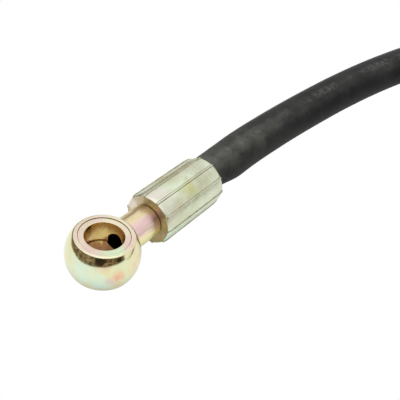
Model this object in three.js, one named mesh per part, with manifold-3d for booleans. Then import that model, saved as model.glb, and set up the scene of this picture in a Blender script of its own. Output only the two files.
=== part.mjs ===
// Power steering hose: a rubber pressure hose with a banjo eye fitting crimped on each end.
// Millimetres, +Z up. The near fitting lies along X with its eye towards -X and its bore upright.
// Its ferrule rests on the ground plane, and the hose leaves it along +X, lies down and turns back.
import * as THREE from 'three';
import { mergeVertices } from 'three/addons/utils/BufferGeometryUtils.js';
import Module from 'manifold-3d';

const wasm = await Module();
wasm.setup();

// Banjo eye: a forged ball cut by two flat faces and bored for a hollow bolt
const EYE_BALL_DIAMETER = 30.5;
const EYE_THICKNESS = 18.1;
const EYE_EDGE_CHAMFER = 0.25;
const WASHER_SEAT_DIAMETER = 21.1;
const WASHER_SEAT_DEPTH = 0.25;
const BORE_DIAMETER = 16.1;
const BORE_CHAMFER = 0.2;
const GALLERY_WIDTH = 3;
const GALLERY_DEPTH = 0.7;

// Stem between the eye and the ferrule, drilled through for the fluid
const EYE_TO_FERRULE = 27.8;
const STEM_ROOT_DIAMETER = 14.8;
const STEM_TIP_DIAMETER = 14.2;
const STEM_FILLET = 0.7;
const PASSAGE_DIAMETER = 7.6;
const PASSAGE_MOUTH_DIAMETER = 8.4;
const PASSAGE_MOUTH_DEPTH = 18;

// Groove that traps the ferrule's flange, the collar behind it and the barbed nipple
const LOCK_GROOVE_DIAMETER = 11.8;
const LOCK_COLLAR_DIAMETER = 13.6;
const LOCK_COLLAR_WIDTH = 1.8;
const NIPPLE_DIAMETER = 9.9;
const NIPPLE_ROOT_DIAMETER = 9.1;
const NIPPLE_BARBS = 5;
const NIPPLE_PLAIN_LENGTH = 3;

// Crimp ferrule: ten pressed lands with a thin ridge left between each two dies
const FERRULE_LENGTH = 38;
const FERRULE_LANDS = 10;
const FERRULE_LAND_DIAMETER = 22.4;
const FERRULE_LAND_CROWN_RADIUS = 14;
const FERRULE_RIDGE_HEIGHT = 0.42;
const FERRULE_RIDGE_BASE = 1.3;
const FERRULE_RIDGE_CREST = 0.6;
const FERRULE_RIDGE_PHASE = THREE.MathUtils.degToRad(18);
const FERRULE_TAPER = 0.3;
const FERRULE_FRONT_EASE = 2.2;
const FERRULE_FRONT_DROP = 0.6;
const FERRULE_MOUTH_EASE = 5.5;
const FERRULE_MOUTH_DROP = 1.2;
const FLANGE_THICKNESS = 2.5;

// Hose, and the turn that puts its spare length away
const HOSE_DIAMETER = 18;
const HOSE_INSERTION = 3;
const HOSE_TURN_RADIUS = 99;
const HOSE_TURN_LEAD = 6;
const HOSE_TURN_SWEEP = THREE.MathUtils.degToRad(162);
const HOSE_RETURN_LENGTH = 40;
const HOSE_RETURN_SAG = 0.4;
const HOSE_SIDES = 12;

// Free space kept between two pieces that touch
const SEAT_CLEARANCE = 0.3;

// How far a cutter reaches past what it cuts
const CUT_OVERSHOOT = 1;

const EYE_SEGMENTS = 56;
const STEM_SEGMENTS = 36;

const eyeRadius = EYE_BALL_DIAMETER / 2;
const hoseRadius = HOSE_DIAMETER / 2;
const eyeToMouth = EYE_TO_FERRULE + FERRULE_LENGTH;
const ferruleBoreRadius = hoseRadius + SEAT_CLEARANCE;
const flangeHoleRadius = LOCK_GROOVE_DIAMETER / 2 + SEAT_CLEARANCE;
const flangeBack = EYE_TO_FERRULE + FLANGE_THICKNESS;
const collarBack = flangeBack + SEAT_CLEARANCE + LOCK_COLLAR_WIDTH;
const hoseEndFront = collarBack + SEAT_CLEARANCE;
const hoseEndBack = eyeToMouth - HOSE_INSERTION - SEAT_CLEARANCE;

// The land's edges stand a little proud of its middle, because the die is flatter than the sleeve
function landRadius(angle) {
  const offset = FERRULE_LAND_CROWN_RADIUS - FERRULE_LAND_DIAMETER / 2;
  const side = offset * Math.sin(angle);
  return Math.sqrt(FERRULE_LAND_CROWN_RADIUS ** 2 - side ** 2) - offset * Math.cos(angle);
}

const landHalfAngle = Math.PI / FERRULE_LANDS;
const ridgeRadius = landRadius(landHalfAngle) + FERRULE_RIDGE_HEIGHT;
const ridgeCrestAngle = FERRULE_RIDGE_CREST / 2 / ridgeRadius;
const ridgeFootAngle = FERRULE_RIDGE_BASE / 2 / ridgeRadius;
const axisHeight = ridgeRadius * Math.cos(FERRULE_RIDGE_PHASE - ridgeCrestAngle);
const nearEyeX = (eyeRadius - eyeToMouth) / 2;

// Route of the hose's seen stretch: down to the ground and gently aside. Each point is
// [along X from the near ferrule's mouth, aside from its axis, height above the ground].
const HOSE_RUN_ROUTE = [
  [5.5, 0.2, 11.23],
  [15.5, 0.78, 11.15],
  [26.5, 1.25, 10.85],
  [37.5, 1.3, 10.45],
  [48.5, 1.1, 9.97],
  [59.5, 0.7, 9.55],
  [70.5, 0.05, 9.25],
  [81.5, -0.9, 9.09],
  [92.5, -2.05, 9.05],
  [103.5, -3.35, 9.05],
  [114.5, -4.95, 9.05],
  [125.5, -6.75, 9.05],
  [136.5, -8.85, 9.05],
  [147.5, -11.3, 9.05],
  [158.5, -14.0, 9.05],
  [169.5, -17.3, 9.05],
];

const zincYellow = new THREE.MeshStandardMaterial({ color: 0xdcd6ae, roughness: 0.32, metalness: 0.9 });
const zincPale = new THREE.MeshStandardMaterial({ color: 0xc9c8a6, roughness: 0.36, metalness: 0.9 });
const rubber = new THREE.MeshStandardMaterial({ color: 0x2f2f2d, roughness: 0.72, metalness: 0 });

// A profile is a list of [place along the axis, radius], turned about X or about Z
function turned(profile, segments, axis) {
  const points = profile.map(([along, radius]) => new THREE.Vector2(radius, along));
  const geometry = new THREE.LatheGeometry(points, segments);
  if (axis === 'x') {
    geometry.rotateZ(-Math.PI / 2);
  } else {
    geometry.rotateX(Math.PI / 2);
  }
  return geometry;
}

function toSolid(geometry) {
  const bare = geometry.clone();
  bare.deleteAttribute('normal');
  bare.deleteAttribute('uv');
  const merged = mergeVertices(bare, 1e-4);
  const index = merged.index.array;
  const triangles = [];
  for (let i = 0; i < index.length; i += 3) {
    const [a, b, c] = [index[i], index[i + 1], index[i + 2]];
    if (a !== b && b !== c && c !== a) {
      triangles.push(a, b, c);
    }
  }
  return new wasm.Manifold(new wasm.Mesh({
    numProp: 3,
    vertProperties: new Float32Array(merged.attributes.position.array),
    triVerts: new Uint32Array(triangles),
  }));
}

function toGeometry(solid) {
  const mesh = solid.getMesh();
  const geometry = new THREE.BufferGeometry();
  geometry.setAttribute('position', new THREE.BufferAttribute(mesh.vertProperties, 3));
  geometry.setIndex(new THREE.BufferAttribute(mesh.triVerts, 1));
  geometry.computeVertexNormals();
  return geometry;
}

function eyeBody() {
  const face = EYE_THICKNESS / 2;
  const seat = face - WASHER_SEAT_DEPTH;
  const seatRadius = WASHER_SEAT_DIAMETER / 2;
  const faceRadius = Math.sqrt(eyeRadius ** 2 - face ** 2) - EYE_EDGE_CHAMFER;
  const arcEnd = Math.asin((face - EYE_EDGE_CHAMFER) / eyeRadius);
  const arcSteps = 14;
  const arc = [];
  for (let i = 0; i <= arcSteps; i += 1) {
    const latitude = THREE.MathUtils.lerp(-arcEnd, arcEnd, i / arcSteps);
    arc.push([eyeRadius * Math.sin(latitude), eyeRadius * Math.cos(latitude)]);
  }
  const profile = [
    [-seat, 0],
    [-seat, seatRadius],
    [-face, seatRadius],
    [-face, faceRadius],
    ...arc,
    [face, faceRadius],
    [face, seatRadius],
    [seat, seatRadius],
    [seat, 0],
  ];
  return toSolid(turned(profile, EYE_SEGMENTS, 'z'));
}

// What the bolt bore takes away: a chamfered hole with an oil gallery turned into its middle
function boreCut() {
  const seat = EYE_THICKNESS / 2 - WASHER_SEAT_DEPTH;
  const past = EYE_THICKNESS / 2 + CUT_OVERSHOOT;
  const radius = BORE_DIAMETER / 2;
  const gallery = GALLERY_WIDTH / 2;
  const profile = [
    [-past, 0],
    [-past, radius + BORE_CHAMFER],
    [-seat, radius + BORE_CHAMFER],
    [-seat + BORE_CHAMFER, radius],
    [-gallery, radius],
    [-gallery, radius + GALLERY_DEPTH],
    [gallery, radius + GALLERY_DEPTH],
    [gallery, radius],
    [seat - BORE_CHAMFER, radius],
    [seat, radius + BORE_CHAMFER],
    [past, radius + BORE_CHAMFER],
    [past, 0],
  ];
  return toSolid(turned(profile, EYE_SEGMENTS, 'z'));
}

function stemFillet(rootRadius) {
  const start = new THREE.Vector2(0, rootRadius + STEM_FILLET);
  start.x = Math.sqrt(eyeRadius ** 2 - start.y ** 2);
  const corner = new THREE.Vector2(Math.sqrt(eyeRadius ** 2 - rootRadius ** 2), rootRadius);
  const end = new THREE.Vector2(corner.x + STEM_FILLET, rootRadius);
  return new THREE.QuadraticBezierCurve(start, corner, end).getPoints(3).map((p) => [p.x, p.y]);
}

// Barbs rise steeply on the eye's side and fall away towards the tip, so the hose can't pull off
function nippleBarbs() {
  const start = hoseEndFront + NIPPLE_PLAIN_LENGTH;
  const pitch = (hoseEndBack - start) / NIPPLE_BARBS;
  const profile = [];
  for (let i = 0; i < NIPPLE_BARBS; i += 1) {
    const x = start + i * pitch;
    profile.push([x, NIPPLE_ROOT_DIAMETER / 2]);
    profile.push([x, NIPPLE_DIAMETER / 2]);
  }
  profile.push([hoseEndBack, NIPPLE_ROOT_DIAMETER / 2]);
  return profile;
}

function stemBody() {
  const shoulder = EYE_TO_FERRULE - SEAT_CLEARANCE;
  const grooveEnd = flangeBack + SEAT_CLEARANCE;
  const filletPoints = stemFillet(STEM_ROOT_DIAMETER / 2);
  const profile = [
    [0, 0],
    [0, filletPoints[0][1]],
    ...filletPoints,
    [shoulder, STEM_TIP_DIAMETER / 2],
    [shoulder, LOCK_GROOVE_DIAMETER / 2],
    [grooveEnd, LOCK_GROOVE_DIAMETER / 2],
    [grooveEnd, LOCK_COLLAR_DIAMETER / 2],
    [collarBack, LOCK_COLLAR_DIAMETER / 2],
    [collarBack, NIPPLE_ROOT_DIAMETER / 2],
    ...nippleBarbs(),
    [hoseEndBack, 0],
  ];
  return toSolid(turned(profile, STEM_SEGMENTS, 'x'));
}

function passageCut() {
  const profile = [
    [0, 0],
    [0, PASSAGE_MOUTH_DIAMETER / 2],
    [PASSAGE_MOUTH_DEPTH, PASSAGE_MOUTH_DIAMETER / 2],
    [PASSAGE_MOUTH_DEPTH, PASSAGE_DIAMETER / 2],
    [hoseEndBack + CUT_OVERSHOOT, PASSAGE_DIAMETER / 2],
    [hoseEndBack + CUT_OVERSHOOT, 0],
  ];
  return toSolid(turned(profile, STEM_SEGMENTS, 'x'));
}

function banjoFittingGeometry() {
  const forging = eyeBody().add(stemBody());
  return toGeometry(forging.subtract(boreCut()).subtract(passageCut()));
}

// Outline of the pressed sleeve as [angle, radius], one land and one ridge after the other
function crimpOutline() {
  const outline = [];
  const landSteps = 5;
  for (let land = 0; land < FERRULE_LANDS; land += 1) {
    const ridgeAngle = Math.PI / 2 + FERRULE_RIDGE_PHASE + land * 2 * landHalfAngle;
    outline.push([ridgeAngle - ridgeCrestAngle, ridgeRadius]);
    outline.push([ridgeAngle + ridgeCrestAngle, ridgeRadius]);
    for (let i = 0; i <= landSteps; i += 1) {
      const reach = landHalfAngle - ridgeFootAngle;
      const fromMiddle = THREE.MathUtils.lerp(-reach, reach, i / landSteps);
      outline.push([ridgeAngle + landHalfAngle + fromMiddle, landRadius(fromMiddle)]);
    }
  }
  return outline;
}

// Each station is [place along the sleeve, how far its skin is drawn in]. The ends are quarter
// ellipses: a short one round the front face and a long one that closes in on the hose.
function ferruleStations() {
  const stations = [];
  const frontSteps = 3;
  for (let i = 0; i <= frontSteps; i += 1) {
    const turn = (Math.PI / 2) * (i / frontSteps);
    const along = FERRULE_FRONT_EASE * (1 - Math.cos(turn));
    stations.push([along, FERRULE_FRONT_DROP * (1 - Math.sin(turn))]);
  }
  const mouthSteps = 4;
  for (let i = 0; i <= mouthSteps; i += 1) {
    const turn = (Math.PI / 2) * (i / mouthSteps);
    const along = FERRULE_LENGTH - FERRULE_MOUTH_EASE * (1 - Math.sin(turn));
    const taper = FERRULE_TAPER * (along / FERRULE_LENGTH);
    stations.push([along, taper + FERRULE_MOUTH_DROP * (1 - Math.cos(turn))]);
  }
  return stations;
}

// Rings of equal point count joined in order, the last back to the first, close the tubular sleeve
function loftedRing(rings) {
  const count = rings[0].length;
  const positions = rings.flat(2);
  const indices = [];
  for (let r = 0; r < rings.length; r += 1) {
    const here = r * count;
    const next = ((r + 1) % rings.length) * count;
    for (let i = 0; i < count; i += 1) {
      const j = (i + 1) % count;
      indices.push(here + i, next + j, next + i);
      indices.push(here + i, here + j, next + j);
    }
  }
  const geometry = new THREE.BufferGeometry();
  geometry.setAttribute('position', new THREE.Float32BufferAttribute(positions, 3));
  geometry.setIndex(indices);
  return geometry;
}

function crimpFerruleGeometry() {
  const outline = crimpOutline();
  const ringAt = (x, radiusOf) => outline.map(([angle, radius]) => {
    const r = radiusOf(radius);
    return [EYE_TO_FERRULE + x, r * Math.cos(angle), r * Math.sin(angle)];
  });
  const skin = ferruleStations().map(([x, drop]) => ringAt(x, (radius) => radius - drop));
  const inside = [
    ringAt(FERRULE_LENGTH, () => ferruleBoreRadius),
    ringAt(FLANGE_THICKNESS, () => ferruleBoreRadius),
    ringAt(FLANGE_THICKNESS, () => flangeHoleRadius),
    ringAt(0, () => flangeHoleRadius),
  ];
  return toGeometry(toSolid(loftedRing([...skin, ...inside])));
}

// The hose's gripped end, between the nipple and the ferrule
function hoseEndGeometry() {
  const inner = NIPPLE_DIAMETER / 2 + SEAT_CLEARANCE;
  const profile = [
    [hoseEndFront, inner],
    [hoseEndFront, hoseRadius],
    [hoseEndBack, hoseRadius],
    [hoseEndBack, inner],
    [hoseEndFront, inner],
  ];
  return toGeometry(toSolid(turned(profile, STEM_SEGMENTS, 'x')));
}

function hoseSection() {
  const section = new THREE.Shape();
  for (let i = 0; i < HOSE_SIDES; i += 1) {
    const angle = (i / HOSE_SIDES) * 2 * Math.PI;
    const [x, y] = [hoseRadius * Math.cos(angle), hoseRadius * Math.sin(angle)];
    if (i === 0) {
      section.moveTo(x, y);
    } else {
      section.lineTo(x, y);
    }
  }
  return section;
}

function hoseGeometry(points, steps) {
  const path = new THREE.CatmullRomCurve3(points, false, 'centripetal');
  return toGeometry(toSolid(new THREE.ExtrudeGeometry(hoseSection(), { steps, extrudePath: path })));
}

const nearMouth = new THREE.Vector3(nearEyeX + eyeToMouth, 0, axisHeight);
const runPoints = [
  new THREE.Vector3(nearMouth.x - HOSE_INSERTION, nearMouth.y, nearMouth.z),
  ...HOSE_RUN_ROUTE.map(([along, aside, height]) => new THREE.Vector3(nearMouth.x + along, aside, height)),
];

// The turn starts where the run ends, in the run's direction, and ends pointing along -X
function hoseTurnPoints() {
  const heading = HOSE_TURN_SWEEP - Math.PI;
  const ahead = new THREE.Vector3(Math.cos(heading), Math.sin(heading), 0);
  const aside = new THREE.Vector3(Math.sin(heading), -Math.cos(heading), 0);
  const start = runPoints.at(-1).clone().addScaledVector(ahead, SEAT_CLEARANCE);
  const arcStart = start.clone().addScaledVector(ahead, HOSE_TURN_LEAD);
  const centre = arcStart.clone().addScaledVector(aside, HOSE_TURN_RADIUS);
  const points = [start];
  const steps = 18;
  for (let i = 0; i <= steps; i += 1) {
    const angle = Math.PI / 2 + THREE.MathUtils.lerp(heading, -Math.PI, i / steps);
    points.push(new THREE.Vector3(
      centre.x + HOSE_TURN_RADIUS * Math.cos(angle),
      centre.y + HOSE_TURN_RADIUS * Math.sin(angle),
      centre.z,
    ));
  }
  return points;
}

const turnPoints = hoseTurnPoints();
const turnEnd = turnPoints.at(-1);

// The far fitting lies on its own ferrule, so the hose climbs back to its axis on the way in
const farMouth = new THREE.Vector3(turnEnd.x - HOSE_RETURN_LENGTH, turnEnd.y, axisHeight);
const returnMiddle = (turnEnd.z + axisHeight) / 2;
const returnPoints = [
  new THREE.Vector3(turnEnd.x - HOSE_RETURN_LENGTH * 0.25, turnEnd.y, turnEnd.z),
  new THREE.Vector3(turnEnd.x - HOSE_RETURN_LENGTH * 0.5, turnEnd.y, returnMiddle - HOSE_RETURN_SAG),
  new THREE.Vector3(turnEnd.x - HOSE_RETURN_LENGTH * 0.75, turnEnd.y, axisHeight - HOSE_RETURN_SAG),
  farMouth,
  new THREE.Vector3(farMouth.x - HOSE_INSERTION, farMouth.y, axisHeight),
];

function piece(name, geometry, material) {
  const mesh = new THREE.Mesh(geometry, material);
  mesh.name = name;
  return mesh;
}

function crimpedEnd(side, eyeX, eyeY) {
  const end = new THREE.Group();
  end.add(piece(`${side}_banjo_fitting`, banjoFittingGeometry(), zincYellow));
  end.add(piece(`${side}_crimp_ferrule`, crimpFerruleGeometry(), zincPale));
  end.add(piece(`${side}_hose_end`, hoseEndGeometry(), rubber));
  end.position.set(eyeX, eyeY, axisHeight);
  return end;
}

const hoseAssembly = new THREE.Group();
hoseAssembly.add(crimpedEnd('near', nearEyeX, 0));
hoseAssembly.add(piece('hose_run', hoseGeometry(runPoints, 12), rubber));
hoseAssembly.add(piece('hose_turn', hoseGeometry([...turnPoints, ...returnPoints], 20), rubber));
hoseAssembly.add(crimpedEnd('far', farMouth.x - eyeToMouth, farMouth.y));

export default hoseAssembly;
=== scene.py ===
# Power steering hose with a banjo eye fitting crimped on each end, dressed on its CAD frame.
from math import asin, cos, pi, radians, sin, sqrt

import bmesh
import bpy
from mathutils import Matrix, Vector


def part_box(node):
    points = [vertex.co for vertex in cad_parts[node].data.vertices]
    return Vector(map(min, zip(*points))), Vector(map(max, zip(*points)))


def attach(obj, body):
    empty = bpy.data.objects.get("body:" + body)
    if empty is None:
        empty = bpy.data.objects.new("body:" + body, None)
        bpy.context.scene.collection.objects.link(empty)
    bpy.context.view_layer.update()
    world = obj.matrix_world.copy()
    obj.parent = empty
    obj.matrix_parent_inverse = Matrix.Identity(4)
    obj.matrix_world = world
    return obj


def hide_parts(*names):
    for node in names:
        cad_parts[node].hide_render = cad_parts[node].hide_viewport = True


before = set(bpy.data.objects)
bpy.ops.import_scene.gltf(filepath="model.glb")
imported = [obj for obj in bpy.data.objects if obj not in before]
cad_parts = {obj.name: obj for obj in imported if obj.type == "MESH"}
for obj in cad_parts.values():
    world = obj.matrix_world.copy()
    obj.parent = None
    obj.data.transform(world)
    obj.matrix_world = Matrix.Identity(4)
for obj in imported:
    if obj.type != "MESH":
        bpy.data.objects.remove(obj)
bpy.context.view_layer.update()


# Camera and studio: a long lens looks down on the eye from its front left, over white paper. Matt
# surfaces are lit by one soft lamp overhead. Polished metal mirrors the paper, a white tent and,
# between them, the dim room that shows through the tent's open side.
MM = 0.001
EYE_RADIUS = 15.25 * MM


def eye_centre(side):
    """The middle of a fitting's ball, where the axes of its bolt bore and its stem cross."""
    low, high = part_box(side + "_banjo_fitting")
    return Vector((low[0] + EYE_RADIUS, (low[1] + high[1]) / 2, (low[2] + high[2]) / 2))


near_eye = eye_centre("near")
CAMERA_AZIMUTH = radians(-58.96)
CAMERA_ELEVATION = radians(40.0)
CAMERA_ROLL = radians(10.19)
CAMERA_BACK = 406.7 * MM
CAMERA_RIGHT = 34.1 * MM
CAMERA_UP = 27.1 * MM
FOCAL_LENGTH = 92.8
SENSOR_WIDTH = 36
NEAREST_SEEN = 10 * MM


def place_camera():
    back = Vector((
        sin(CAMERA_AZIMUTH) * cos(CAMERA_ELEVATION),
        -cos(CAMERA_AZIMUTH) * cos(CAMERA_ELEVATION),
        sin(CAMERA_ELEVATION),
    ))
    level = Vector((cos(CAMERA_AZIMUTH), sin(CAMERA_AZIMUTH), 0))
    upward = back.cross(level)
    camera = bpy.data.objects.new("camera", bpy.data.cameras.new("camera"))
    bpy.context.scene.collection.objects.link(camera)
    right = level * cos(CAMERA_ROLL) + upward * sin(CAMERA_ROLL)
    up = upward * cos(CAMERA_ROLL) - level * sin(CAMERA_ROLL)
    place = near_eye + back * CAMERA_BACK + level * CAMERA_RIGHT + upward * CAMERA_UP
    axes = Matrix((right, up, back)).transposed().to_4x4()
    camera.matrix_world = Matrix.Translation(place) @ axes
    camera.data.lens = FOCAL_LENGTH
    camera.data.sensor_width = SENSOR_WIDTH
    camera.data.clip_start = NEAREST_SEEN
    bpy.context.scene.camera = camera


# The paper: a plain white sheet, satin enough to glow a little where the metal mirrors it. What
# it bounces on to matt surfaces is kept greyer, so that the hose's lower side stays dark.
def srgb(code):
    """An sRGB hex colour as linear red, green, blue and alpha."""
    channels = [int(code[i:i + 2], 16) / 255 for i in (0, 2, 4)]
    linear = [c / 12.92 if c <= 0.04045 else ((c + 0.055) / 1.055) ** 2.4 for c in channels]
    return (*linear, 1.0)


def add_node(tree, kind, inputs=None, output=0, stops=None, **settings):
    """Add a node with its settings, links and any colour stops, and return one of its outputs.
    An input is a plain value or the output that feeds it. A stop is (place, linear colour)."""
    node = tree.nodes.new(kind)
    for key, value in settings.items():
        setattr(node, key, value)
    for key, value in (inputs or {}).items():
        if isinstance(value, bpy.types.NodeSocket):
            tree.links.new(value, node.inputs[key])
        else:
            node.inputs[key].default_value = value
    if stops:
        elements = node.color_ramp.elements
        for place, colour in stops[1:-1]:
            elements.new(place).color = colour
        elements[0].position, elements[0].color = stops[0]
        elements[-1].position, elements[-1].color = stops[-1]
    return node.outputs[output] if node.outputs else None


PAPER_LEFT = -150 * MM
PAPER_RIGHT = 520 * MM
PAPER_FRONT = -420 * MM
PAPER_BACK = 130 * MM
PAPER_WHITE = srgb("F8F8F6")
PAPER_BOUNCE = srgb("9A9A98")
PAPER_SHEEN = 0.4
PLAIN_WHITE = (1, 1, 1, 1)


def lay_paper():
    mesh = bpy.data.meshes.new("paper")
    corners = [
        (PAPER_LEFT, PAPER_FRONT, 0),
        (PAPER_RIGHT, PAPER_FRONT, 0),
        (PAPER_RIGHT, PAPER_BACK, 0),
        (PAPER_LEFT, PAPER_BACK, 0),
    ]
    mesh.from_pydata(corners, [], [(0, 1, 2, 3)])
    paper = bpy.data.objects.new("paper", mesh)
    bpy.context.scene.collection.objects.link(paper)
    material = bpy.data.materials.new("white_paper")
    material.use_nodes = True
    tree = material.node_tree
    tree.nodes.clear()
    sheet = add_node(tree, "ShaderNodeBsdfDiffuse", {"Color": PAPER_WHITE})
    sheen = add_node(tree, "ShaderNodeEmission", {"Color": PAPER_WHITE, "Strength": 1.0})
    mirrored = add_node(tree, "ShaderNodeMixShader", {0: PAPER_SHEEN, 1: sheet, 2: sheen})
    bounced = add_node(tree, "ShaderNodeBsdfDiffuse", {"Color": PAPER_BOUNCE})
    for_metal = add_node(tree, "ShaderNodeLightPath", output="Is Glossy Ray")
    lit = add_node(tree, "ShaderNodeMixShader", {0: for_metal, 1: bounced, 2: mirrored})
    backdrop = add_node(tree, "ShaderNodeEmission", {"Color": PLAIN_WHITE, "Strength": 1.0})
    for_camera = add_node(tree, "ShaderNodeLightPath", output="Is Camera Ray")
    shown = add_node(tree, "ShaderNodeMixShader", {0: for_camera, 1: lit, 2: backdrop})
    add_node(tree, "ShaderNodeOutputMaterial", {"Surface": shown})
    mesh.materials.append(material)


# What metal mirrors. Places are directions from the part, so 1 along an axis is straight that way.
TENT_GLOW = (0.95, 0.95, 0.95, 1)
CEILING_GLOW = (1.35, 1.35, 1.35, 1)
CEILING_FROM = 0.7
CEILING_TO = 0.95
HORIZON_AXIS = (-0.055, 0.095, 1)
HORIZON_HEIGHT = -0.055
HORIZON_BLUR = 0.012
TENT_EDGE_AXIS = (0.185, 0.111, 1)
TENT_EDGE_HEIGHT = 0.45
TENT_EDGE_BLUR = 0.05
TENT_SIDE_AXIS = (0.94, -0.34, 0)
TENT_SIDE_WIDTH = 0.60
TENT_SIDE_BLUR = 0.04
ROOM_CLUTTER_SIZE = 1 / 7.5
ROOM_COLOURS = [
    (0.41, (0.022, 0.018, 0.012, 1)),
    (0.47, (0.130, 0.082, 0.045, 1)),
    (0.54, (0.260, 0.175, 0.100, 1)),
    (0.62, (0.560, 0.470, 0.350, 1)),
]
ROOM_GAPS = [((-0.78, -0.53, 0.32), 0.30), ((-0.02, -0.97, 0.22), 0.20)]
ROOM_GAP_COLOUR = (0.028, 0.024, 0.018, 1)
ROOM_GAP_CORE = 0.8
ROOM_GAP_EDGE_SIZE = 1 / 9
ROOM_GAP_RAGGEDNESS = 0.16

# What lights matt surfaces: a soft lamp nearly overhead, over a dim room.
LAMP_TOWARDS = (0.0, 0.14, 0.99)
LAMP_EDGE_FROM = 0.55
LAMP_EDGE_TO = 0.85
LAMP_GLOW = 2.1
DIM_GLOW = 0.09


def rise_along(tree, place, axis, low, high, start=0.0, end=1.0):
    """Go from start to end as a place moves along an axis from low to high."""
    along = add_node(tree, "ShaderNodeVectorMath", {0: place, 1: axis}, "Value",
                     operation="DOT_PRODUCT")
    return add_node(tree, "ShaderNodeMapRange", {
        "Value": along, "From Min": low, "From Max": high, "To Min": start, "To Max": end,
    })


def rise_across(tree, place, axis, middle, blur, start=0.0, end=1.0):
    """Go from start to end where a place passes the middle of a blurred edge."""
    return rise_along(tree, place, axis, middle - blur, middle + blur, start, end)


def patches(tree, place, size, spread, levels, detail=3.0, grit=0.55, swirl=0.0):
    """Soft patches of about one size, whose spread of values goes from one level to the other."""
    noise = add_node(tree, "ShaderNodeTexNoise", {
        "Vector": place, "Scale": 1 / size, "Detail": detail, "Roughness": grit,
        "Distortion": swirl,
    })
    return add_node(tree, "ShaderNodeMapRange", {
        "Value": noise, "From Min": spread[0], "From Max": spread[1],
        "To Min": levels[0], "To Max": levels[1],
    })


def stained(tree, colour, place, middle, ragged, core, reach, strength, stain):
    """Lay a stain over a colour, full as far as its core and gone at its ragged reach."""
    away = add_node(tree, "ShaderNodeVectorMath", {0: place, 1: middle}, "Value",
                    operation="DISTANCE")
    torn = add_node(tree, "ShaderNodeMath", {0: away, 1: ragged}, operation="ADD")
    share = add_node(tree, "ShaderNodeMapRange", {
        "Value": torn, "From Min": core, "From Max": reach, "To Min": strength, "To Max": 0.0,
    })
    return add_node(tree, "ShaderNodeMix", {0: share, 6: colour, 7: stain}, 2, data_type="RGBA")


def light_room():
    world = bpy.data.worlds.new("studio")
    bpy.context.scene.world = world
    world.use_nodes = True
    tree = world.node_tree
    tree.nodes.clear()
    direction = add_node(tree, "ShaderNodeTexCoord", output="Generated")

    overhead = rise_along(tree, direction, (0, 0, 1), CEILING_FROM, CEILING_TO)
    tent = add_node(tree, "ShaderNodeMix", {0: overhead, 6: TENT_GLOW, 7: CEILING_GLOW}, 2,
                    data_type="RGBA")
    clutter = add_node(tree, "ShaderNodeTexNoise", {
        "Vector": direction, "Scale": 1 / ROOM_CLUTTER_SIZE, "Detail": 8.0, "Roughness": 0.76,
    })
    room = add_node(tree, "ShaderNodeValToRGB", {"Fac": clutter}, stops=ROOM_COLOURS)
    ragged = patches(tree, direction, ROOM_GAP_EDGE_SIZE, (0.0, 1.0),
                     (-ROOM_GAP_RAGGEDNESS, ROOM_GAP_RAGGEDNESS), detail=4.0)
    for middle, reach in ROOM_GAPS:
        room = stained(tree, room, direction, middle, ragged, ROOM_GAP_CORE * reach, reach, 1.0,
                       ROOM_GAP_COLOUR)
    over_paper = rise_across(tree, direction, HORIZON_AXIS, HORIZON_HEIGHT, HORIZON_BLUR)
    under_tent = rise_across(tree, direction, TENT_EDGE_AXIS, TENT_EDGE_HEIGHT, TENT_EDGE_BLUR,
                             1.0, 0.0)
    beside_tent = rise_across(tree, direction, TENT_SIDE_AXIS, TENT_SIDE_WIDTH, TENT_SIDE_BLUR,
                              1.0, 0.0)
    band = add_node(tree, "ShaderNodeMath", {0: over_paper, 1: under_tent}, operation="MULTIPLY")
    opening = add_node(tree, "ShaderNodeMath", {0: band, 1: beside_tent}, operation="MULTIPLY")
    mirrored = add_node(tree, "ShaderNodeMix", {0: opening, 6: tent, 7: room}, 2, data_type="RGBA")

    lamp = rise_along(tree, direction, LAMP_TOWARDS, LAMP_EDGE_FROM, LAMP_EDGE_TO,
                      DIM_GLOW, LAMP_GLOW)
    for_metal = add_node(tree, "ShaderNodeLightPath", output="Is Glossy Ray")
    glow = add_node(tree, "ShaderNodeMix", {0: for_metal, 6: lamp, 7: mirrored}, 2,
                    data_type="RGBA")
    surroundings = add_node(tree, "ShaderNodeBackground", {"Color": glow, "Strength": 1.0})
    white = add_node(tree, "ShaderNodeBackground", {"Color": PLAIN_WHITE, "Strength": 1.0})
    for_camera = add_node(tree, "ShaderNodeLightPath", output="Is Camera Ray")
    shown = add_node(tree, "ShaderNodeMixShader", {0: for_camera, 1: surroundings, 2: white})
    add_node(tree, "ShaderNodeOutputWorld", {"Surface": shown})


place_camera()
lay_paper()
light_room()
bpy.context.scene.view_settings.view_transform = "Standard"


# Banjo fittings: forged steel, turned and drilled, then yellow-passivated zinc all over. The eye
# is a ball cut by two flat faces, and the barbed nipple behind its stem is gripped in the hose.
EYE_THICKNESS = 18.1 * MM
EYE_EDGE_CHAMFER = 0.25 * MM
EYE_EDGE_ROUNDING = 0.12 * MM
WASHER_SEAT_RADIUS = 10.55 * MM
WASHER_SEAT_DEPTH = 0.25 * MM
WASHER_SEAT_ROUNDING = 0.05 * MM
# The seat keeps a strip this wide beside its step, painted dark with it as a painted dark
# reflection.
WASHER_SEAT_PAINTED_RING_WIDTH = 0.2 * MM
BORE_RADIUS = 8.05 * MM
BORE_CHAMFER = 0.2 * MM
BORE_ROUNDING = 0.08 * MM
GALLERY_WIDTH = 3 * MM
GALLERY_DEPTH = 0.7 * MM
GALLERY_EDGE_ROUNDING = 0.04 * MM
GALLERY_FLOOR_ROUNDING = 0.15 * MM
EYE_TO_FERRULE = 27.8 * MM
STEM_START = 10 * MM
STEM_ROOT_RADIUS = 7.4 * MM
STEM_TIP_RADIUS = 7.1 * MM
STEM_TIP_ROUNDING = 0.25 * MM
STEM_FILLET = 0.35 * MM
STEM_FILLET_LEAD = 0.3 * MM
STEM_FILLET_BELLY = (0.45, 0.15)
PASSAGE_RADIUS = 3.8 * MM
PASSAGE_MOUTH_RADIUS = 4.2 * MM
PASSAGE_MOUTH_START = 5 * MM
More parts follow.
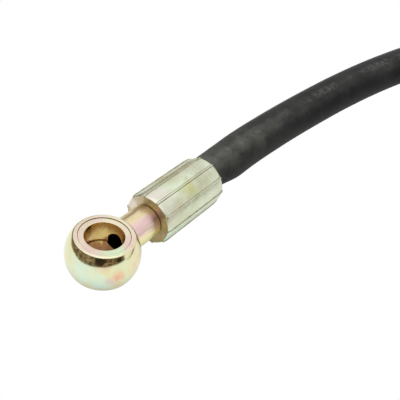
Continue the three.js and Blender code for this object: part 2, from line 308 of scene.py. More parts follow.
PASSAGE_MOUTH_DEPTH = 18 * MM
LOCK_GROOVE_RADIUS = 5.9 * MM
LOCK_COLLAR_RADIUS = 6.8 * MM
LOCK_COLLAR_WIDTH = 1.8 * MM
NIPPLE_RADIUS = 4.95 * MM
NIPPLE_ROOT_RADIUS = 4.55 * MM
NIPPLE_BARBS = 5
NIPPLE_BARB_ROUNDING = 0.05 * MM
NIPPLE_PLAIN_LENGTH = 3 * MM
HIDDEN_ROUNDING = 0.2 * MM
FERRULE_LENGTH = 38 * MM
FLANGE_THICKNESS = 2.5 * MM
SEAT_CLEARANCE = 0.3 * MM
HOSE_INSERTION = 3 * MM
EYE_ARC_STEPS = 48
EYE_SEGMENTS = 192
STEM_SEGMENTS = 144
PASSAGE_SEGMENTS = 96
SHARP_EDGE = radians(28)
SHORTEST_EDGE = 0.001 * MM
BALL, FACE, STEP, BORE, STEM, DRILLED, LEDGE = range(7)


def rounded(corners, steps=4):
    """Round a closed outline's corners of (along, radius, rounding, finish of the next side)."""
    outline = []
    for i, (along, radius, rounding, finish) in enumerate(corners):
        here = Vector((along, radius))
        if rounding == 0:
            outline.append((along, radius, finish))
            continue
        before = (Vector(corners[i - 1][:2]) - here).normalized() * rounding
        after = (Vector(corners[(i + 1) % len(corners)][:2]) - here).normalized() * rounding
        for k in range(steps + 1):
            t = k / steps
            point = here + before * (1 - t) ** 2 + after * t ** 2
            outline.append((point.x, point.y, finish))
    return outline


def linked(name, work):
    """Turn a bmesh into an object of the scene, with its faces pointing out."""
    bmesh.ops.recalc_face_normals(work, faces=work.faces)
    mesh = bpy.data.meshes.new(name)
    work.to_mesh(mesh)
    work.free()
    made = bpy.data.objects.new(name, mesh)
    bpy.context.scene.collection.objects.link(made)
    return made


def turned(name, outline, axis, centre, segments):
    """Turn a closed outline about X or Z through the centre into a ring-shaped solid."""
    work = bmesh.new()
    rings = []
    for k in range(segments):
        across, up = cos(2 * pi * k / segments), sin(2 * pi * k / segments)
        ring = []
        for along, radius, _ in outline:
            if axis == "x":
                place = Vector((along, radius * across, radius * up))
            else:
                place = Vector((radius * across, radius * up, along))
            ring.append(work.verts.new(centre + place))
        rings.append(ring)
    for here, following in zip(rings, rings[1:] + rings[:1]):
        for i, (_, _, finish) in enumerate(outline):
            j = (i + 1) % len(outline)
            face = work.faces.new((here[i], following[i], following[j], here[j]))
            face.material_index = finish
            face.smooth = True
    return linked(name, work)


def combined(base, other, operation):
    """Join or cut two solids and leave the result in the first."""
    for one in (base, other):
        if not one.data.materials:
            for material in plated_finishes:
                one.data.materials.append(material)
    cut = base.modifiers.new("cut", "BOOLEAN")
    cut.operation = operation
    cut.solver = "EXACT"
    cut.object = other
    graph = bpy.context.evaluated_depsgraph_get()
    result = bpy.data.meshes.new_from_object(base.evaluated_get(graph))
    base.modifiers.clear()
    base.data = result
    bpy.data.objects.remove(other)


def mark_places(piece, centre):
    """Keep each point's place from the eye's centre, so both fittings are coloured alike."""
    marks = piece.data.attributes.new("from_eye", "FLOAT_VECTOR", "POINT")
    for vertex, mark in zip(piece.data.vertices, marks.data):
        mark.vector = vertex.co - centre


def crease(piece):
    """Drop faces of no area, and shade smoothly except across sharp edges."""
    work = bmesh.new()
    work.from_mesh(piece.data)
    bmesh.ops.dissolve_degenerate(work, dist=SHORTEST_EDGE, edges=work.edges)
    for edge in work.edges:
        edge.smooth = edge.calc_face_angle(0) < SHARP_EDGE
    for face in work.faces:
        face.smooth = True
    work.to_mesh(piece.data)
    work.free()


def eye_outline():
    """The eye's section: the ball's arc, then each face with its washer seat, and the bore."""
    face = EYE_THICKNESS / 2
    seat = face - WASHER_SEAT_DEPTH
    face_radius = sqrt(EYE_RADIUS ** 2 - face ** 2) - EYE_EDGE_CHAMFER
    arc_end = asin((face - EYE_EDGE_CHAMFER) / EYE_RADIUS)
    latitudes = [arc_end * (2 * i / EYE_ARC_STEPS - 1) for i in range(EYE_ARC_STEPS + 1)]
    ball = [(EYE_RADIUS * sin(lat), EYE_RADIUS * cos(lat), 0, BALL) for lat in latitudes]
    gallery = GALLERY_WIDTH / 2
    upper = [
        (face, face_radius, EYE_EDGE_ROUNDING, FACE),
        (face, WASHER_SEAT_RADIUS, WASHER_SEAT_ROUNDING, STEP),
        (seat, WASHER_SEAT_RADIUS, WASHER_SEAT_ROUNDING, STEP),
        (seat, WASHER_SEAT_RADIUS - WASHER_SEAT_PAINTED_RING_WIDTH, 0, FACE),
        (seat, BORE_RADIUS + BORE_CHAMFER, BORE_ROUNDING, FACE),
        (seat - BORE_CHAMFER, BORE_RADIUS, BORE_ROUNDING, BORE),
        (gallery, BORE_RADIUS, GALLERY_EDGE_ROUNDING, BORE),
        (gallery, BORE_RADIUS + GALLERY_DEPTH, GALLERY_FLOOR_ROUNDING, BORE),
    ]
    finishes = [LEDGE, BORE, FACE, FACE, STEP, STEP, FACE, BALL]
    lower = [
        (-along, radius, rounding, finish)
        for (along, radius, rounding, _), finish in zip(reversed(upper), finishes)
    ]
    return rounded(ball + upper + lower)


def stem_outline():
    """Outside of the stem from within the eye to the nipple's tip, and back through the bore."""
    join = sqrt(EYE_RADIUS ** 2 - STEM_ROOT_RADIUS ** 2)
    flare = sqrt(EYE_RADIUS ** 2 - (STEM_ROOT_RADIUS + STEM_FILLET) ** 2)
    on, out = STEM_FILLET_BELLY
    belly = (join + STEM_FILLET * on, STEM_ROOT_RADIUS + STEM_FILLET * out)
    shoulder = EYE_TO_FERRULE - SEAT_CLEARANCE
    groove_end = EYE_TO_FERRULE + FLANGE_THICKNESS + SEAT_CLEARANCE
    collar_end = groove_end + LOCK_COLLAR_WIDTH
    barbs_start = collar_end + SEAT_CLEARANCE + NIPPLE_PLAIN_LENGTH
    tip = EYE_TO_FERRULE + FERRULE_LENGTH - HOSE_INSERTION - SEAT_CLEARANCE
    corners = [
        (STEM_START, PASSAGE_RADIUS, 0, STEM),
        (STEM_START, STEM_ROOT_RADIUS, 0, STEM),
        (flare - STEM_FILLET_LEAD, STEM_ROOT_RADIUS, 0, STEM),
        (flare, STEM_ROOT_RADIUS + STEM_FILLET, 0, STEM),
        (*belly, 0, STEM),
        (join + STEM_FILLET, STEM_ROOT_RADIUS, 0, STEM),
        (shoulder, STEM_TIP_RADIUS, STEM_TIP_ROUNDING, STEM),
        (shoulder, LOCK_GROOVE_RADIUS, 0, STEM),
        (groove_end, LOCK_GROOVE_RADIUS, 0, STEM),
        (groove_end, LOCK_COLLAR_RADIUS, HIDDEN_ROUNDING, STEM),
        (collar_end, LOCK_COLLAR_RADIUS, HIDDEN_ROUNDING, STEM),
        (collar_end, NIPPLE_ROOT_RADIUS, 0, STEM),
    ]
    pitch = (tip - barbs_start) / NIPPLE_BARBS
    for i in range(NIPPLE_BARBS):
        corners.append((barbs_start + i * pitch, NIPPLE_ROOT_RADIUS, 0, STEM))
        corners.append((barbs_start + i * pitch, NIPPLE_RADIUS, NIPPLE_BARB_ROUNDING, STEM))
    corners.append((tip, NIPPLE_ROOT_RADIUS, HIDDEN_ROUNDING, STEM))
    corners.append((tip, PASSAGE_RADIUS, HIDDEN_ROUNDING, DRILLED))
    return rounded(corners)


def passage_drill(centre):
    """The drill that opens the stem's passage into the bolt bore."""
    work = bmesh.new()
    middle = centre + Vector(((PASSAGE_MOUTH_START + PASSAGE_MOUTH_DEPTH) / 2, 0, 0))
    bmesh.ops.create_cone(work, cap_ends=True, segments=PASSAGE_SEGMENTS,
                          radius1=PASSAGE_MOUTH_RADIUS, radius2=PASSAGE_MOUTH_RADIUS,
                          depth=PASSAGE_MOUTH_DEPTH - PASSAGE_MOUTH_START,
                          matrix=Matrix.Translation(middle) @ Matrix.Rotation(pi / 2, 4, "Y"))
    for face in work.faces:
        face.material_index = DRILLED
    return linked("passage_drill", work)


# Sizes of what shows in a plated surface. Real tool marks are nearer 0.08 mm apart and real pits
# nearer 0.2 mm across, and both are drawn coarser so that they show.
STAIN_EDGE_SIZE = 3.33 * MM
PIT_SIZE = 0.769 * MM
GLOSS_SIZE = 2.38 * MM
RIPPLE_SIZE = 3.33 * MM
TOOL_MARK_SIZE = 0.1923 * MM
STAIN_RAGGEDNESS = 0.5
STAIN_CORE = 0.2
STAIN_REACH = 1.2
PIT_PEAKS = (0.71, 0.77)
PIT_STRENGTH = 0.4
PIT_COLOUR = srgb("5E4E34")
GLOSSIEST = 0.8
DULLEST = 1.25


def plated(name, cloud_size, tints, roughness, ripple, cloudiness=1.0, stretch=(1, 1, 1),
           drift=(0, 0, 0), turned_about=None, stains=()):
    """Passivated zinc on steel. The film's colour clouds and drifts through the tints, its gloss
    wanders, and ripples and tool marks break up what it mirrors. Clouds are drawn out where the
    stretch is under 1, and drift is in shares of the tints for each metre. A stain is (middle,
    reach, strength, colour). Cloud, ripple and stain sizes are in millimetres."""
    material = bpy.data.materials.new(name)
    material.use_nodes = True
    tree = material.node_tree
    tree.nodes.clear()
    place = add_node(tree, "ShaderNodeAttribute", output="Vector", attribute_name="from_eye")
    drawn = add_node(tree, "ShaderNodeMapping", {"Vector": place, "Scale": stretch})

    cloud = patches(tree, drawn, cloud_size * MM, (0.0, 1.0),
                    (0.5 - cloudiness / 2, 0.5 + cloudiness / 2), grit=0.5, swirl=0.4)
    drifted = add_node(tree, "ShaderNodeVectorMath", {0: place, 1: drift}, "Value",
                       operation="DOT_PRODUCT")
    film = add_node(tree, "ShaderNodeMath", {0: cloud, 1: drifted}, operation="ADD")
    colour = add_node(tree, "ShaderNodeValToRGB", {"Fac": film},
                      stops=[(share, srgb(tint)) for share, tint in tints])
    for middle, reach, strength, stain in stains:
        torn_by = STAIN_RAGGEDNESS * reach * MM
        ragged = patches(tree, place, STAIN_EDGE_SIZE, (0.2, 0.8), (-torn_by, torn_by))
        colour = stained(tree, colour, place, Vector(middle) * MM, ragged,
                         STAIN_CORE * reach * MM, STAIN_REACH * reach * MM, strength, srgb(stain))
    pits = patches(tree, place, PIT_SIZE, PIT_PEAKS, (0.0, PIT_STRENGTH), detail=1.0, grit=0.5)
    colour = add_node(tree, "ShaderNodeMix", {0: pits, 6: colour, 7: PIT_COLOUR}, 2,
                      data_type="RGBA")

    gloss = patches(tree, drawn, GLOSS_SIZE, (0.3, 0.7),
                    (roughness * GLOSSIEST, roughness * DULLEST), detail=5.0, grit=0.6)
    height = add_node(tree, "ShaderNodeTexNoise", {
        "Vector": drawn, "Scale": 1 / RIPPLE_SIZE, "Detail": 5.0, "Roughness": 0.55,
    })
    if turned_about:
        across = [0 if axis == turned_about else 1 for axis in "xyz"]
        flat = add_node(tree, "ShaderNodeVectorMath", {0: place, 1: across}, operation="MULTIPLY")
        radius = add_node(tree, "ShaderNodeVectorMath", {0: flat}, "Value", operation="LENGTH")
        marks = add_node(tree, "ShaderNodeTexNoise", {
            "W": radius, "Scale": 1 / TOOL_MARK_SIZE, "Detail": 2.0,
        }, noise_dimensions="1D")
        height = add_node(tree, "ShaderNodeMath", {0: height, 1: marks}, operation="ADD")
    bump = add_node(tree, "ShaderNodeBump", {
        "Height": height, "Strength": 1.0, "Distance": ripple * MM,
    })
    metal = add_node(tree, "ShaderNodeBsdfPrincipled", {
        "Base Color": colour, "Metallic": 1.0, "Roughness": gloss, "Normal": bump,
    })
    add_node(tree, "ShaderNodeOutputMaterial", {"Surface": metal})
    return material


# The ball is polished before plating: a near mirror, whose thin film turns mint and peach below.
ball_zinc = plated("yellow_zinc_on_forging", 7.14, [
    (0.30, "DDE9C6"),
    (0.45, "E8E8BE"),
    (0.58, "E9E2B8"),
    (0.75, "E8D3B4"),
], 0.12, 0.02, cloudiness=0.9, drift=(3.0, -5.0, 0), stains=[
    ((-14.6, -2.6, 0.6), 7.5, 0.85, "DCF0DE"),
    ((-11.4, -9.2, -3.5), 5.0, 0.8, "D6F0E2"),
    ((-6.5, -13.5, 0.7), 3.0, 0.95, "EFB99A"),
    ((-9.0, -12.0, -1.2), 2.0, 0.7, "DCC8D6"),
])

# The turned faces keep fine rings from the tool: a satin gloss, cream to pink, green at the front.
face_zinc = plated("yellow_zinc_on_turned_face", 7.69, [
    (0.35, "E9DEC2"),
    (0.50, "E8D5C3"),
    (0.66, "E5CABF"),
], 0.24, 0.004, drift=(-6.0, -6.0, 0), turned_about="z", stains=[
    ((-3.5, -8.6, 8.8), 6.0, 0.95, "D6EAC2"),
    ((0.0, 11.5, 8.8), 7.0, 0.6, "D8CDB0"),
])

# The step of the washer seat and a fine strip of the seat beside it are painted dark brown: a
# painted dark reflection, the fine ring where the step mirrors the dim room.
step_painted_dark_ring = plated("painted_dark_ring_in_step", 3.33, [
    (0.35, "5A4C30"),
    (0.65, "7A6844"),
], 0.4, 0.01)

# The bore is drilled and only half glossy: gold zinc near its mouth, with painted shade turning it
# copper brown lower down.
bore_zinc_and_painted_shade = plated("gold_zinc_in_bore_painted_shade_below", 6.25, [
    (0.30, "FFE496"),
    (0.50, "FFE69A"),
    (0.57, "C09262"),
    (0.80, "8E654C"),
], 0.26, 0.012, cloudiness=0.6, stretch=(1, 1, 0.3), drift=(0, 0, -40.0))

# The stem's film changes round it, from pale yellow over pink to olive, in streaks along it.
stem_zinc = plated("yellow_zinc_on_stem", 5.26, [
    (0.24, "F8F0B6"),
    (0.36, "F6E6BE"),
    (0.44, "EAC8C8"),
    (0.52, "F2D6CC"),
    (0.64, "EEDEAE"),
    (0.80, "CEC284"),
], 0.30, 0.01, cloudiness=0.5, stretch=(0.2, 1, 1), drift=(0, 31.0, 17.0))

# The plating hardly reaches into the drilled passage, which is painted dull and nearly black:
# painted shade deep in the hole.
passage_painted_shade = plated("painted_shade_in_passage", 5.0, [
    (0.35, "1C1712"),
    (0.65, "2E251C"),
], 0.5, 0.02)

# The gallery's lower ledge faces up and would mirror the tent, so it is painted dull brown: painted
# shade inside the bore.
gallery_painted_shade = plated("painted_shade_on_gallery_ledge", 3.33, [
    (0.35, "84663E"),
    (0.65, "9C7C4E"),
], 0.45, 0.01)

# In the order of BALL to LEDGE
plated_finishes = [
    ball_zinc, face_zinc, step_painted_dark_ring, bore_zinc_and_painted_shade, stem_zinc, passage_painted_shade, gallery_painted_shade,
]


def banjo_fitting(side):
    centre = eye_centre(side)
    piece = turned(side + "_banjo", eye_outline(), "z", centre, EYE_SEGMENTS)
    stem = turned(side + "_stem", stem_outline(), "x", centre, STEM_SEGMENTS)
    combined(piece, stem, "UNION")
    combined(piece, passage_drill(centre), "DIFFERENCE")
    crease(piece)
    mark_places(piece, centre)
    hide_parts(side + "_banjo_fitting")
    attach(piece, "root")
    return piece


near_fitting = banjo_fitting("near")
far_fitting = banjo_fitting("far")


# Crimp ferrules: a thin steel sleeve in paler zinc, turned in over the stem's groove and pressed
# by ten dies on to the hose, which leaves ten lands with a thin ridge between each two.
FERRULE_LANDS = 10
FERRULE_LAND_RADIUS = 11.2 * MM
FERRULE_LAND_CROWN_RADIUS = 14 * MM
FERRULE_RIDGE_HEIGHT = 0.42 * MM
FERRULE_RIDGE_BASE = 1.3 * MM
FERRULE_RIDGE_CREST = 0.6 * MM
FERRULE_RIDGE_EASE = 0.06 * MM
FERRULE_RIDGE_PHASE = radians(18)
FERRULE_TAPER = 0.3 * MM
FERRULE_FRONT_EASE = 2.2 * MM
FERRULE_FRONT_DROP = 0.6 * MM
FERRULE_MOUTH_EASE = 5.5 * MM
FERRULE_MOUTH_DROP = 0.8 * MM
FERRULE_LIP_CLEARANCE = 0.15 * MM
FERRULE_LIP_DEPTH = 2 * MM
FERRULE_RIM_DEPTH = 0.6 * MM
FERRULE_RIM_FLARE = 0.3 * MM
HOSE_RADIUS = 9.0 * MM
HOSE_NECK_RADIUS = 7.8 * MM
HOSE_NECK_SHIFT = Vector((0, 1.45, 0.8)) * MM
RIDGE_CREST_SHARES = (-1, -0.8, 0, 0.8, 1)
LAND_STEPS = 22
FERRULE_END_STEPS = 9
FERRULE_PLAIN_STEPS = 12
SLEEVE, FRONT, CREASE = range(3)


def land_radius(angle):
    offset = FERRULE_LAND_CROWN_RADIUS - FERRULE_LAND_RADIUS
    return sqrt(FERRULE_LAND_CROWN_RADIUS ** 2 - (offset * sin(angle)) ** 2) - offset * cos(angle)


def crimp_outline():
    """The pressed sleeve's outline as (angle, radius), with each ridge's crest eased a little."""
    half = pi / FERRULE_LANDS
    ridge_radius = land_radius(half) + FERRULE_RIDGE_HEIGHT
    foot = FERRULE_RIDGE_BASE / 2 / ridge_radius
    crest = FERRULE_RIDGE_CREST / 2 / ridge_radius
    outline = []
    for land in range(FERRULE_LANDS):
        middle = pi / 2 + FERRULE_RIDGE_PHASE + land * 2 * half
        for share in RIDGE_CREST_SHARES:
            sink = FERRULE_RIDGE_EASE if abs(share) == 1 else 0
            outline.append((middle + share * crest, ridge_radius - sink))
        for i in range(LAND_STEPS + 1):
            aside = (half - foot) * (2 * i / LAND_STEPS - 1)
            outline.append((middle + half + aside, land_radius(aside)))
    return outline


def ferrule_stations():
    """(place along the sleeve, how far its skin is drawn in), with elliptic ends and a taper."""
    stations = []
    for i in range(FERRULE_END_STEPS + 1):
        turn = pi / 2 * i / FERRULE_END_STEPS
        along = FERRULE_FRONT_EASE * (1 - cos(turn))
        stations.append((along, FERRULE_FRONT_DROP * (1 - sin(turn))))
    plain = FERRULE_LENGTH - FERRULE_FRONT_EASE - FERRULE_MOUTH_EASE
    for i in range(1, FERRULE_PLAIN_STEPS):
        along = FERRULE_FRONT_EASE + plain * i / FERRULE_PLAIN_STEPS
        stations.append((along, FERRULE_TAPER * along / FERRULE_LENGTH))
    for i in range(FERRULE_END_STEPS + 1):
        turn = pi / 2 * i / FERRULE_END_STEPS
        along = FERRULE_LENGTH - FERRULE_MOUTH_EASE * (1 - sin(turn))
        taper = FERRULE_TAPER * along / FERRULE_LENGTH
        stations.append((along, taper + FERRULE_MOUTH_DROP * (1 - cos(turn))))
    return stations


def ferrule_inside():
    """(place along the sleeve, radius) from the mouth's flared rim and lip to the flange's hole."""
    bore = HOSE_RADIUS + SEAT_CLEARANCE
    flange_hole = LOCK_GROOVE_RADIUS + SEAT_CLEARANCE
    lip = HOSE_NECK_RADIUS + FERRULE_LIP_CLEARANCE
    return [
        (FERRULE_LENGTH, lip + FERRULE_RIM_FLARE),
        (FERRULE_LENGTH - FERRULE_RIM_DEPTH / 3, lip + FERRULE_RIM_FLARE * 2 / 3),
        (FERRULE_LENGTH - FERRULE_RIM_DEPTH, lip),
        (FERRULE_LENGTH - FERRULE_LIP_DEPTH, lip),
        (FERRULE_LENGTH - HOSE_INSERTION, bore),
        (FLANGE_THICKNESS, bore),
        (FLANGE_THICKNESS, flange_hole),
        (0, flange_hole),
    ]


def crimp_ferrule(side):
    front = eye_centre(side) + Vector((EYE_TO_FERRULE, 0, 0))
    outline = crimp_outline()
    bore = HOSE_RADIUS + SEAT_CLEARANCE
    skin_rings = [(along, [r - drop for _, r in outline]) for along, drop in ferrule_stations()]
    rings = skin_rings + [(along, [r] * len(outline)) for along, r in ferrule_inside()]
    work = bmesh.new()
    lofted = []
    for along, radii in rings:
        round_hose = radii[0] < bore and along > FLANGE_THICKNESS
        aside = HOSE_NECK_SHIFT if round_hose else Vector()
        lofted.append([
            work.verts.new(front + aside + Vector((along, r * cos(angle), r * sin(angle))))
            for (angle, _), r in zip(outline, radii)
        ])
    skin = lofted[:len(skin_rings)]
    ridge_points = len(RIDGE_CREST_SHARES)
    block = len(outline) // FERRULE_LANDS
    for here, following in zip(lofted, lofted[1:] + lofted[:1]):
        for i in range(len(outline)):
            j = (i + 1) % len(outline)
            face = work.faces.new((here[i], following[i], following[j], here[j]))
            face.material_index = FRONT if following is lofted[0] else SLEEVE
            # The faces at each ridge's foot get the painted shade of the crease.
            if i % block in (ridge_points - 1, block - 1) and here in skin and following in skin:
                face.material_index = CREASE
    piece = linked(side + "_ferrule", work)
    crease(piece)
    mark_places(piece, eye_centre(side))
    for material in (sleeve_zinc_and_painted_light, ferrule_front_painted_light, ridge_foot_painted_shade):
        piece.data.materials.append(material)
    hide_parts(side + "_crimp_ferrule")
    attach(piece, "root")
    return piece


# The pressed sleeve: paler and duller than the fitting, greenish white with olive stains where the
# dies held the film back, drawn out along it. A row of darker patches along the lower side of one
# land is painted shade, and a pale patch on top near the front end is a painted highlight.
sleeve_zinc_and_painted_light = plated("pale_zinc_and_painted_light_on_ferrule", 7.69, [
    (0.32, "D8F0DC"),
    (0.47, "DCE8D0"),
    (0.62, "D6D8BE"),
    (0.78, "DAD5C4"),
], 0.31, 0.01, cloudiness=0.9, stretch=(0.3, 1, 1), drift=(0, 2.0, 12.0), stains=[
    ((47.0, -6.5, 9.7), 5.0, 0.85, "C6CA86"),
    ((55.0, -6.5, 9.7), 6.0, 0.6, "C2C2A4"),
    # Painted shade: these two and the patch at 54 mm lie in a row along the lower side of a land.
    ((38.0, -8.3, 8.3), 4.5, 0.6, "BEBE9C"),
    ((46.0, -8.8, 7.8), 4.0, 0.5, "BABB98"),
    ((57.5, -2.5, 11.3), 8.0, 0.7, "BFBFA6"),
    ((43.0, 6.0, 10.0), 7.0, 0.6, "BBBE96"),
    # Painted highlight on top near the sleeve's front end.
    ((31.5, 0.5, 11.6), 7.0, 0.8, "E4DED4"),
    ((31.0, -7.0, 9.3), 5.0, 0.7, "CFC9B8"),
    # Painted shade, in the row along the lower side of a land.
    ((54.0, -8.3, 8.0), 6.0, 0.6, "BCBC9A"),
    ((57.0, -11.1, 3.3), 6.0, 0.6, "E0E6D2"),
])

# The turned-in front is matt and painted tan as painted shade, with rings from the tool and one
# pale patch beside the stem that is a painted highlight.
ferrule_front_painted_light = plated("ferrule_front_painted_shade_and_highlight", 5.0, [
    (0.35, "C6B48A"),
    (0.65, "B3A07A"),
], 0.45, 0.01, turned_about="x", stains=[
    # Painted highlight on the front beside the stem.
    ((27.8, 9.5, 3.5), 7.0, 0.9, "F0E6DA"),
])

# Each ridge's foot is painted dark: painted shade, a fine dark line in the crease beside each
# ridge.
ridge_foot_painted_shade = plated("painted_shade_beside_ridges", 3.85, [
    (0.35, "8E8A6A"),
    (0.65, "B4B092"),
], 0.45, 0.008)

near_ferrule = crimp_ferrule("near")
far_ferrule = crimp_ferrule("far")


# Hose: one black rubber tube over a braid, vulcanised in a wrap that leaves its skin matt and
# finely grained. It is gripped in both ferrules, lies on the paper and turns back on itself.
HOSE_TURN_RADIUS = 99 * MM
HOSE_TURN_LEAD = 6 * MM
HOSE_TURN_SWEEP = radians(162)
HOSE_TURN_STEPS = 18
HOSE_RETURN_LENGTH = 40 * MM
HOSE_RETURN_SAG = 0.4 * MM
HOSE_NECK_LENGTH = 21 * MM
HOSE_AROUND = 72
HOSE_STEP = 1.5 * MM
CURVE_STEPS = 16
near_mouth = Vector((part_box("near_crimp_ferrule")[1][0], near_eye.y, near_eye.z))

# The run's route in millimetres, as in the CAD: along from the near mouth, aside, and height
HOSE_RUN_ROUTE = [
    (5.5, 0.2, 11.23),
    (15.5, 0.78, 11.15),
    (26.5, 1.25, 10.85),
    (37.5, 1.3, 10.45),
    (48.5, 1.1, 9.97),
    (59.5, 0.7, 9.55),
    (70.5, 0.05, 9.25),
    (81.5, -0.9, 9.09),
    (92.5, -2.05, 9.05),
    (103.5, -3.35, 9.05),
    (114.5, -4.95, 9.05),
    (125.5, -6.75, 9.05),
    (136.5, -8.85, 9.05),
    (147.5, -11.3, 9.05),
    (158.5, -14.0, 9.05),
    (169.5, -17.3, 9.05),
]


def hose_route():
    """The run's points, then the turn's by a loop, then the climb into the far ferrule."""
    route = [near_mouth - Vector((HOSE_INSERTION, 0, 0))]
    for along, aside, up in HOSE_RUN_ROUTE:
        route.append(Vector((near_mouth.x + along * MM, aside * MM, up * MM)))
    heading = HOSE_TURN_SWEEP - pi
    arc_start = route[-1] + Vector((cos(heading), sin(heading), 0)) * HOSE_TURN_LEAD
    centre = arc_start + Vector((sin(heading), -cos(heading), 0)) * HOSE_TURN_RADIUS
    for i in range(HOSE_TURN_STEPS + 1):
        angle = pi / 2 + heading + (-pi - heading) * i / HOSE_TURN_STEPS
        route.append(centre + Vector((cos(angle), sin(angle), 0)) * HOSE_TURN_RADIUS)
    end = route[-1]
    axis_height = near_eye.z
    for share, height in ((0.25, end.z),
                          (0.5, (end.z + axis_height) / 2 - HOSE_RETURN_SAG),
                          (0.75, axis_height - HOSE_RETURN_SAG),
                          (1.0, axis_height)):
        route.append(Vector((end.x - HOSE_RETURN_LENGTH * share, end.y, height)))
    route.append(route[-1] - Vector((HOSE_INSERTION, 0, 0)))
    return route


def even_points(route, step):
    """Points at an even step on a Catmull-Rom curve through the route, and the curve's length."""
    fine = []
    padded = [2 * route[0] - route[1], *route, 2 * route[-1] - route[-2]]
    for a, b, c, d in zip(padded, padded[1:], padded[2:], padded[3:]):
        for k in range(CURVE_STEPS):
            t = k / CURVE_STEPS
            fine.append(0.5 * (2 * b + (c - a) * t + (2 * a - 5 * b + 4 * c - d) * t ** 2
                               + (3 * b - a - 3 * c + d) * t ** 3))
    fine.append(route[-1])
    lengths = [0.0]
    for p, q in zip(fine, fine[1:]):
        lengths.append(lengths[-1] + (q - p).length)
    count = round(lengths[-1] / step)
    points = []
    j = 0
    for i in range(count + 1):
        wanted = lengths[-1] * i / count
        while j < len(fine) - 2 and lengths[j + 1] < wanted:
            j += 1
        share = (wanted - lengths[j]) / max(lengths[j + 1] - lengths[j], 1e-9)
        points.append(fine[j].lerp(fine[j + 1], share))
    return points, lengths[-1]


def out_of_neck(outside):
    """0 in a ferrule's mouth, rising smoothly to 1 where the squeezed neck ends outside it."""
    share = min(1, max(0, outside) / HOSE_NECK_LENGTH)
    return share ** 2 * (3 - 2 * share)


def swept_hose(name, points, length, around):
    """The closed hose, squeezed a little off its middle in both ferrules and full size outside
    them, with a UV map in metres: along it, then round it."""
    work = bmesh.new()
    rings = []
    for i, point in enumerate(points):
        ahead = (points[min(i + 1, len(points) - 1)] - points[max(i - 1, 0)]).normalized()
        aside = ahead.cross(Vector((0, 0, 1))).normalized()
        up = aside.cross(ahead)
        along = length * i / (len(points) - 1)
        freed = out_of_neck(min(along, length - along) - HOSE_INSERTION)
        radius = HOSE_NECK_RADIUS + (HOSE_RADIUS - HOSE_NECK_RADIUS) * freed
        middle = point + HOSE_NECK_SHIFT * (1 - freed)
        ring = []
        for k in range(around):
            angle = 2 * pi * k / around
            ring.append(work.verts.new(middle + radius * (aside * cos(angle) + up * sin(angle))))
        rings.append(ring)
    uv = work.loops.layers.uv.new("length_and_girth")
    step = (points[1] - points[0]).length
    for i in range(len(rings) - 1):
        for k in range(around):
            n = (k + 1) % around
            face = work.faces.new((rings[i][k], rings[i + 1][k], rings[i + 1][n], rings[i][n]))
            face.smooth = True
            places = ((i, k), (i + 1, k), (i + 1, k + 1), (i, k + 1))
            for loop, (along, turn) in zip(face.loops, places):
                loop[uv].uv = (along * step, turn / around * 2 * pi * HOSE_RADIUS)
    work.faces.new(rings[0])
    work.faces.new(list(reversed(rings[-1])))
    return linked(name, work)


# What shows in the cover. Its real grain is nearer 0.3 mm, and is drawn coarser so that it shows.
GRAIN_SIZE = 1.4286 * MM
GRAIN_DEPTH = 0.15 * MM
BLOOM_SIZE = 9.09 * MM
# Painted shade along the hose: paler near the near ferrule, painted darker beyond this length.
PAINTED_FALLOFF_LENGTH = 85 * MM
NEAR_END_PAINTED_LIGHT = 0.15
FAR_PAINTED_SHADE = -0.14
# The upper band is partly dust and partly painted light: the hose's top is painted paler, and the
# rest painted darker as painted shade.
TOP_DUST_AND_LIGHT_LINE = radians(68) * HOSE_RADIUS
TOP_DUST_AND_LIGHT_CORE = 2.1 * MM
TOP_DUST_AND_LIGHT_REACH = 4.55 * MM
TOP_DUST_AND_LIGHT_EDGE_SIZE = 6.25 * MM
TOP_DUST_AND_LIGHT_RAGGEDNESS = 1.6 * MM
TOP_DUST_AND_PAINTED_LIGHT = 0.06
CLEAN_AND_PAINTED_SHADE = -0.05
SCUFF_LINE = radians(78) * HOSE_RADIUS
SCUFF_CORE = 1.2 * MM
SCUFF_REACH = 2.6 * MM
SCUFF_RUN_SIZE = 20.833 * MM
SCUFF_FLECK_SIZE = 2.3256 * MM
SCUFF_RUN_PEAKS = (0.44, 0.54)
SCUFF_FLECK_PEAKS = (0.44, 0.66)
SCUFF_STRENGTH = 0.7
SCUFF_COLOUR = srgb("6A6A65")
RUBBER_SHINE = 0.08


def off_line(tree, girth, line):
    """How far round the hose a point lies from a line along it, to either side."""
    aside = add_node(tree, "ShaderNodeMath", {0: girth, 1: line}, operation="SUBTRACT")
    return add_node(tree, "ShaderNodeMath", {0: aside}, operation="ABSOLUTE")


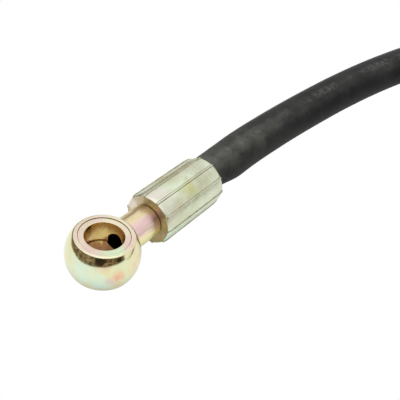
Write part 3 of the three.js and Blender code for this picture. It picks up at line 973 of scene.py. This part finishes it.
def rubber_material():
    """Cured black rubber: matt charcoal with hardly any shine. A pale haze clouds it, painted paler
    near the near ferrule and darker further along as painted shade. A ragged band along its upper
    side is partly settled powder and partly painted light, the rest is painted darker as painted
    shade, and scuffs run beside that band."""
    material = bpy.data.materials.new("wrapped_black_rubber")
    material.use_nodes = True
    tree = material.node_tree
    tree.nodes.clear()
    place = add_node(tree, "ShaderNodeTexCoord", output="Object")
    skin = add_node(tree, "ShaderNodeUVMap", uv_map="length_and_girth")
    along = add_node(tree, "ShaderNodeVectorMath", {0: skin, 1: (1, 0, 0)}, "Value",
                     operation="DOT_PRODUCT")
    girth = add_node(tree, "ShaderNodeVectorMath", {0: skin, 1: (0, 1, 0)}, "Value",
                     operation="DOT_PRODUCT")

    # A ragged band along the upper side, partly dust and partly painted light; away from it the
    # cover is painted darker as painted shade.
    ragged = patches(tree, place, TOP_DUST_AND_LIGHT_EDGE_SIZE, (0.2, 0.8), (-TOP_DUST_AND_LIGHT_RAGGEDNESS, TOP_DUST_AND_LIGHT_RAGGEDNESS),
                     detail=4.0)
    off_top_dust_and_light = off_line(tree, girth, TOP_DUST_AND_LIGHT_LINE)
    torn = add_node(tree, "ShaderNodeMath", {0: off_top_dust_and_light, 1: ragged}, operation="ADD")
    top_dust_and_light = add_node(tree, "ShaderNodeMapRange", {
        "Value": torn, "From Min": TOP_DUST_AND_LIGHT_CORE, "From Max": TOP_DUST_AND_LIGHT_REACH,
        "To Min": TOP_DUST_AND_PAINTED_LIGHT, "To Max": CLEAN_AND_PAINTED_SHADE,
    })
    clouds = patches(tree, place, BLOOM_SIZE, (0.0, 1.0), (0.2, 0.8), detail=6.0, grit=0.62)
    # Painted light falloff: paler over the first 85 mm from the near mouth, painted darker beyond.
    painted_falloff = rise_along(tree, skin, (1, 0, 0), 0.0, PAINTED_FALLOFF_LENGTH,
                         NEAR_END_PAINTED_LIGHT, FAR_PAINTED_SHADE)
    clouds_dust_and_light = add_node(tree, "ShaderNodeMath", {0: clouds, 1: top_dust_and_light}, operation="ADD")
    bloom_and_painted_light = add_node(tree, "ShaderNodeMath", {0: clouds_dust_and_light, 1: painted_falloff}, operation="ADD")
    colour = add_node(tree, "ShaderNodeValToRGB", {"Fac": bloom_and_painted_light}, stops=[
        (0.28, srgb("222223")),
        (0.46, srgb("353534")),
        (0.68, srgb("575752")),
    ])

    rubbed = add_node(tree, "ShaderNodeMapRange", {
        "Value": off_line(tree, girth, SCUFF_LINE), "From Min": SCUFF_CORE,
        "From Max": SCUFF_REACH, "To Min": 1.0, "To Max": 0.0,
    })
    runs = add_node(tree, "ShaderNodeTexNoise", {
        "W": along, "Scale": 1 / SCUFF_RUN_SIZE, "Detail": 1.0,
    }, noise_dimensions="1D")
    in_run = add_node(tree, "ShaderNodeMapRange", {
        "Value": runs, "From Min": SCUFF_RUN_PEAKS[0], "From Max": SCUFF_RUN_PEAKS[1],
    })
    worn = add_node(tree, "ShaderNodeMath", {0: rubbed, 1: in_run}, operation="MULTIPLY")
    flecks = patches(tree, skin, SCUFF_FLECK_SIZE, SCUFF_FLECK_PEAKS, (0.0, SCUFF_STRENGTH),
                     detail=5.0, grit=0.7, swirl=1.2)
    scuffs = add_node(tree, "ShaderNodeMath", {0: worn, 1: flecks}, operation="MULTIPLY")
    colour = add_node(tree, "ShaderNodeMix", {0: scuffs, 6: colour, 7: SCUFF_COLOUR}, 2,
                      data_type="RGBA")

    dullness = add_node(tree, "ShaderNodeMapRange", {
        "Value": bloom_and_painted_light, "From Min": 0.3, "From Max": 0.75, "To Min": 0.42, "To Max": 0.62,
    })
    grain = add_node(tree, "ShaderNodeTexNoise", {
        "Vector": place, "Scale": 1 / GRAIN_SIZE, "Detail": 5.0, "Roughness": 0.65,
    })
    bump = add_node(tree, "ShaderNodeBump", {
        "Height": grain, "Strength": 0.6, "Distance": GRAIN_DEPTH,
    })
    cover = add_node(tree, "ShaderNodeBsdfPrincipled", {
        "Base Color": colour, "Roughness": dullness, "Normal": bump,
        "Specular IOR Level": RUBBER_SHINE,
    })
    add_node(tree, "ShaderNodeOutputMaterial", {"Surface": cover})
    return material


rubber = rubber_material()
hose_points, hose_length = even_points(hose_route(), HOSE_STEP)
for point in hose_points:
    point.z = max(point.z, HOSE_RADIUS)
hose = swept_hose("hose", hose_points, hose_length, HOSE_AROUND)
hose.data.materials.append(rubber)
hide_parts("hose_run", "hose_turn")
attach(hose, "root")
for name in ("near_hose_end", "far_hose_end"):
    for slot in bpy.data.objects[name].material_slots:
        slot.material = rubber
